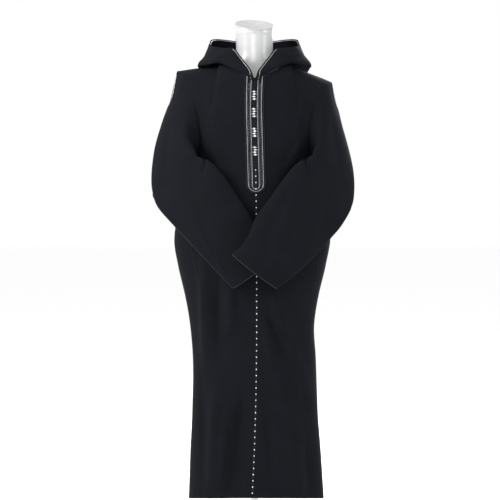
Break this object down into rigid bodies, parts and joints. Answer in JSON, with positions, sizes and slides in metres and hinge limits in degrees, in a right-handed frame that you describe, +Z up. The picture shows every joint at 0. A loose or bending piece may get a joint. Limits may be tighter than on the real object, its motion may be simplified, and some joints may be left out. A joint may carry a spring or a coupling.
{
  "type": "djellaba robe on limbless dress form",
  "caption": "Black hooded wool djellaba with silver braid and white knot buttons, sleeves folded across the belly, worn by a white limbless dress form on a pole and round base",
  "frame": {"origin": "on the floor, at the middle of the dress form's round base", "axes": "+Z up, +X to the wearer's left, the robe's front faces -Y"},
  "size_m": [0.6438, 0.4264, 1.6401],
  "materials": {
    "black_wool": "matt brushed wool with a soft short nap, slightly blue black",
    "silver_braid": "silver grey braid and metallic thread on black",
    "white_knot": "white passementerie cord, tightly knotted",
    "white_gloss": "glossy white lacquered fibreglass",
    "cap_grey": "satin pale grey plate",
    "steel": "brushed steel tube"
  },
  "bodies": {
    "root": {"front_left": "black_wool", "front_right": "black_wool", "back": "black_wool", "sleeve_left": "black_wool", "sleeve_right": "black_wool", "hood": "black_wool", "placket_left": "silver_braid", "placket_right": "silver_braid", "hood_cord": "silver_braid", "arm_braid_left": "silver_braid", "arm_braid_right": "silver_braid", "cuff_cord_left": "silver_braid", "cuff_cord_right": "silver_braid", "slit_cord_left": "silver_braid", "slit_cord_right": "silver_braid", "knot_1": "white_knot", "knot_2": "white_knot", "knot_3": "white_knot", "knot_4": "white_knot", "knot_5": "white_knot", "knot_6": "white_knot", "knot_7": "white_knot", "knot_8": "white_knot", "knot_9": "white_knot", "knot_10": "white_knot", "knot_11": "white_knot", "knot_12": "white_knot", "knot_13": "white_knot", "knot_14": "white_knot", "knot_15": "white_knot", "knot_16": "white_knot", "form_torso": "white_gloss", "neck_cap": "cap_grey", "form_pole": "steel", "form_base": "white_gloss"}
  },
  "joints": []
}
